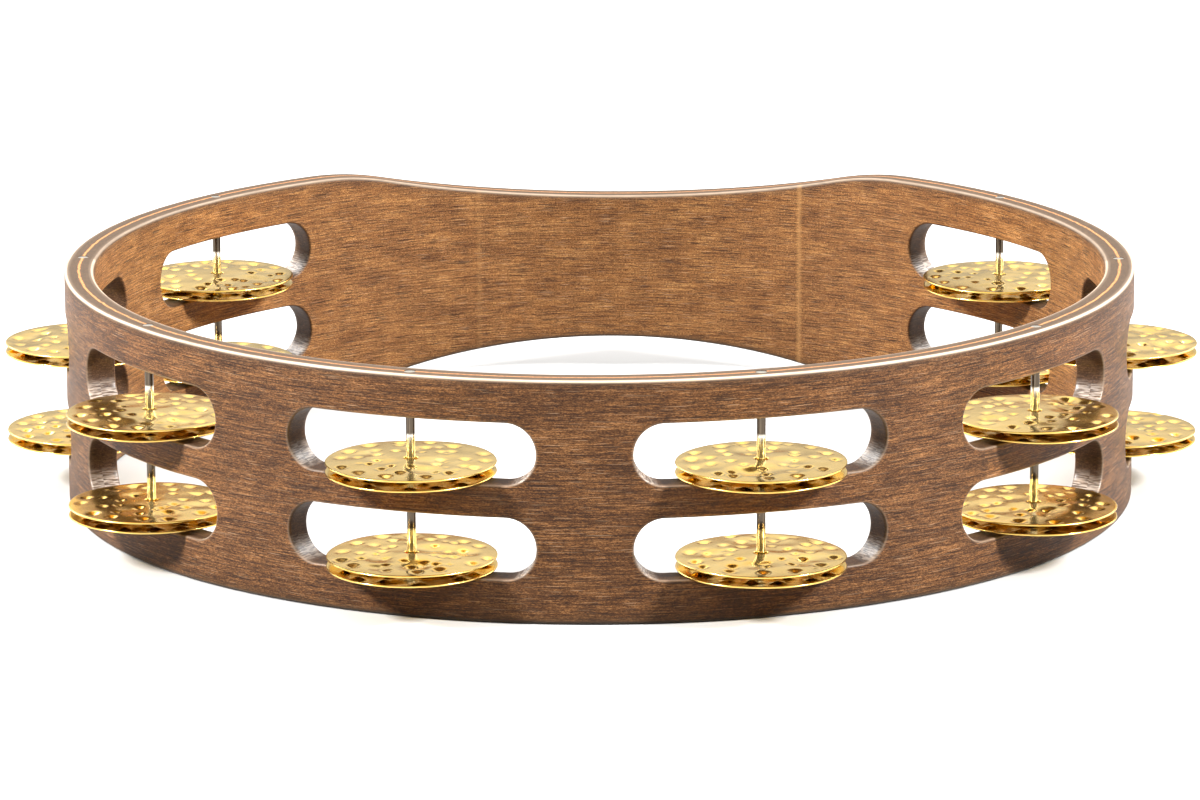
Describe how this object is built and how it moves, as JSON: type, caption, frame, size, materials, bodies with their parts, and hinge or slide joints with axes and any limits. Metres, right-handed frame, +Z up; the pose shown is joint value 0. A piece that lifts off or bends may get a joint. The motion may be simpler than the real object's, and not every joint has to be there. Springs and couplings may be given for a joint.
{
  "type": "tambourine",
  "caption": "Headless hand tambourine: bent wood shell with a waisted grip, two rows of round-ended slots, steel pins and pairs of loose hammered brass jingles.",
  "frame": {"origin": "middle of the overall box's footprint on the plane that the lower rim rests on; the ring's axis is 4.7 mm behind it", "axes": "+X to the right as seen from the front, +Y towards the waisted grip at the back, +Z up along the ring's axis"},
  "size_m": [0.285, 0.2634, 0.055],
  "materials": {
    "stained_wood": "walnut-brown stain, satin",
    "pin_steel": "polished",
    "hammered_brass": "polished, hammered"
  },
  "bodies": {
    "shell": {"wood_shell": "stained_wood", "jingle_pin_1": "pin_steel", "jingle_pin_2": "pin_steel", "jingle_pin_3": "pin_steel", "jingle_pin_4": "pin_steel", "jingle_pin_5": "pin_steel", "jingle_pin_6": "pin_steel", "jingle_pin_7": "pin_steel", "jingle_pin_8": "pin_steel"},
    "jingle_1_low_lower": {"jingle_1_low_lower": "hammered_brass"},
    "jingle_1_low_upper": {"jingle_1_low_upper": "hammered_brass"},
    "jingle_1_high_lower": {"jingle_1_high_lower": "hammered_brass"},
    "jingle_1_high_upper": {"jingle_1_high_upper": "hammered_brass"},
    "jingle_2_low_lower": {"jingle_2_low_lower": "hammered_brass"},
    "jingle_2_low_upper": {"jingle_2_low_upper": "hammered_brass"},
    "jingle_2_high_lower": {"jingle_2_high_lower": "hammered_brass"},
    "jingle_2_high_upper": {"jingle_2_high_upper": "hammered_brass"},
    "jingle_3_low_lower": {"jingle_3_low_lower": "hammered_brass"},
    "jingle_3_low_upper": {"jingle_3_low_upper": "hammered_brass"},
    "jingle_3_high_lower": {"jingle_3_high_lower": "hammered_brass"},
    "jingle_3_high_upper": {"jingle_3_high_upper": "hammered_brass"},
    "jingle_4_low_lower": {"jingle_4_low_lower": "hammered_brass"},
    "jingle_4_low_upper": {"jingle_4_low_upper": "hammered_brass"},
    "jingle_4_high_lower": {"jingle_4_high_lower": "hammered_brass"},
    "jingle_4_high_upper": {"jingle_4_high_upper": "hammered_brass"},
    "jingle_5_low_lower": {"jingle_5_low_lower": "hammered_brass"},
    "jingle_5_low_upper": {"jingle_5_low_upper": "hammered_brass"},
    "jingle_5_high_lower": {"jingle_5_high_lower": "hammered_brass"},
    "jingle_5_high_upper": {"jingle_5_high_upper": "hammered_brass"},
    "jingle_6_low_lower": {"jingle_6_low_lower": "hammered_brass"},
    "jingle_6_low_upper": {"jingle_6_low_upper": "hammered_brass"},
    "jingle_6_high_lower": {"jingle_6_high_lower": "hammered_brass"},
    "jingle_6_high_upper": {"jingle_6_high_upper": "hammered_brass"},
    "jingle_7_low_lower": {"jingle_7_low_lower": "hammered_brass"},
    "jingle_7_low_upper": {"jingle_7_low_upper": "hammered_brass"},
    "jingle_7_high_lower": {"jingle_7_high_lower": "hammered_brass"},
    "jingle_7_high_upper": {"jingle_7_high_upper": "hammered_brass"},
    "jingle_8_low_lower": {"jingle_8_low_lower": "hammered_brass"},
    "jingle_8_low_upper": {"jingle_8_low_upper": "hammered_brass"},
    "jingle_8_high_lower": {"jingle_8_high_lower": "hammered_brass"},
    "jingle_8_high_upper": {"jingle_8_high_upper": "hammered_brass"}
  },
  "joints": [
    {"name": "jingle_1_low_lower_slide", "type": "slide", "parent": "shell", "child": "jingle_1_low_lower", "axis": [0, 0, 1], "range_m": [0, 0.0047]},
    {"name": "jingle_1_low_upper_slide", "type": "slide", "parent": "jingle_1_low_lower", "child": "jingle_1_low_upper", "axis": [0, 0, 1], "range_m": [0, 0.0047]},
    {"name": "jingle_1_high_lower_slide", "type": "slide", "parent": "shell", "child": "jingle_1_high_lower", "axis": [0, 0, 1], "range_m": [0, 0.0047]},
    {"name": "jingle_1_high_upper_slide", "type": "slide", "parent": "jingle_1_high_lower", "child": "jingle_1_high_upper", "axis": [0, 0, 1], "range_m": [0, 0.0047]},
    {"name": "jingle_2_low_lower_slide", "type": "slide", "parent": "shell", "child": "jingle_2_low_lower", "axis": [0, 0, 1], "range_m": [0, 0.0047]},
    {"name": "jingle_2_low_upper_slide", "type": "slide", "parent": "jingle_2_low_lower", "child": "jingle_2_low_upper", "axis": [0, 0, 1], "range_m": [0, 0.0047]},
    {"name": "jingle_2_high_lower_slide", "type": "slide", "parent": "shell", "child": "jingle_2_high_lower", "axis": [0, 0, 1], "range_m": [0, 0.0047]},
    {"name": "jingle_2_high_upper_slide", "type": "slide", "parent": "jingle_2_high_lower", "child": "jingle_2_high_upper", "axis": [0, 0, 1], "range_m": [0, 0.0047]},
    {"name": "jingle_3_low_lower_slide", "type": "slide", "parent": "shell", "child": "jingle_3_low_lower", "axis": [0, 0, 1], "range_m": [0, 0.0047]},
    {"name": "jingle_3_low_upper_slide", "type": "slide", "parent": "jingle_3_low_lower", "child": "jingle_3_low_upper", "axis": [0, 0, 1], "range_m": [0, 0.0047]},
    {"name": "jingle_3_high_lower_slide", "type": "slide", "parent": "shell", "child": "jingle_3_high_lower", "axis": [0, 0, 1], "range_m": [0, 0.0047]},
    {"name": "jingle_3_high_upper_slide", "type": "slide", "parent": "jingle_3_high_lower", "child": "jingle_3_high_upper", "axis": [0, 0, 1], "range_m": [0, 0.0047]},
    {"name": "jingle_4_low_lower_slide", "type": "slide", "parent": "shell", "child": "jingle_4_low_lower", "axis": [0, 0, 1], "range_m": [0, 0.0047]},
    {"name": "jingle_4_low_upper_slide", "type": "slide", "parent": "jingle_4_low_lower", "child": "jingle_4_low_upper", "axis": [0, 0, 1], "range_m": [0, 0.0047]},
    {"name": "jingle_4_high_lower_slide", "type": "slide", "parent": "shell", "child": "jingle_4_high_lower", "axis": [0, 0, 1], "range_m": [0, 0.0047]},
    {"name": "jingle_4_high_upper_slide", "type": "slide", "parent": "jingle_4_high_lower", "child": "jingle_4_high_upper", "axis": [0, 0, 1], "range_m": [0, 0.0047]},
    {"name": "jingle_5_low_lower_slide", "type": "slide", "parent": "shell", "child": "jingle_5_low_lower", "axis": [0, 0, 1], "range_m": [0, 0.0047]},
    {"name": "jingle_5_low_upper_slide", "type": "slide", "parent": "jingle_5_low_lower", "child": "jingle_5_low_upper", "axis": [0, 0, 1], "range_m": [0, 0.0047]},
    {"name": "jingle_5_high_lower_slide", "type": "slide", "parent": "shell", "child": "jingle_5_high_lower", "axis": [0, 0, 1], "range_m": [0, 0.0047]},
    {"name": "jingle_5_high_upper_slide", "type": "slide", "parent": "jingle_5_high_lower", "child": "jingle_5_high_upper", "axis": [0, 0, 1], "range_m": [0, 0.0047]},
    {"name": "jingle_6_low_lower_slide", "type": "slide", "parent": "shell", "child": "jingle_6_low_lower", "axis": [0, 0, 1], "range_m": [0, 0.0047]},
    {"name": "jingle_6_low_upper_slide", "type": "slide", "parent": "jingle_6_low_lower", "child": "jingle_6_low_upper", "axis": [0, 0, 1], "range_m": [0, 0.0047]},
    {"name": "jingle_6_high_lower_slide", "type": "slide", "parent": "shell", "child": "jingle_6_high_lower", "axis": [0, 0, 1], "range_m": [0, 0.0047]},
    {"name": "jingle_6_high_upper_slide", "type": "slide", "parent": "jingle_6_high_lower", "child": "jingle_6_high_upper", "axis": [0, 0, 1], "range_m": [0, 0.0047]},
    {"name": "jingle_7_low_lower_slide", "type": "slide", "parent": "shell", "child": "jingle_7_low_lower", "axis": [0, 0, 1], "range_m": [0, 0.0047]},
    {"name": "jingle_7_low_upper_slide", "type": "slide", "parent": "jingle_7_low_lower", "child": "jingle_7_low_upper", "axis": [0, 0, 1], "range_m": [0, 0.0047]},
    {"name": "jingle_7_high_lower_slide", "type": "slide", "parent": "shell", "child": "jingle_7_high_lower", "axis": [0, 0, 1], "range_m": [0, 0.0047]},
    {"name": "jingle_7_high_upper_slide", "type": "slide", "parent": "jingle_7_high_lower", "child": "jingle_7_high_upper", "axis": [0, 0, 1], "range_m": [0, 0.0047]},
    {"name": "jingle_8_low_lower_slide", "type": "slide", "parent": "shell", "child": "jingle_8_low_lower", "axis": [0, 0, 1], "range_m": [0, 0.0047]},
    {"name": "jingle_8_low_upper_slide", "type": "slide", "parent": "jingle_8_low_lower", "child": "jingle_8_low_upper", "axis": [0, 0, 1], "range_m": [0, 0.0047]},
    {"name": "jingle_8_high_lower_slide", "type": "slide", "parent": "shell", "child": "jingle_8_high_lower", "axis": [0, 0, 1], "range_m": [0, 0.0047]},
    {"name": "jingle_8_high_upper_slide", "type": "slide", "parent": "jingle_8_high_lower", "child": "jingle_8_high_upper", "axis": [0, 0, 1], "range_m": [0, 0.0047]}
  ]
}
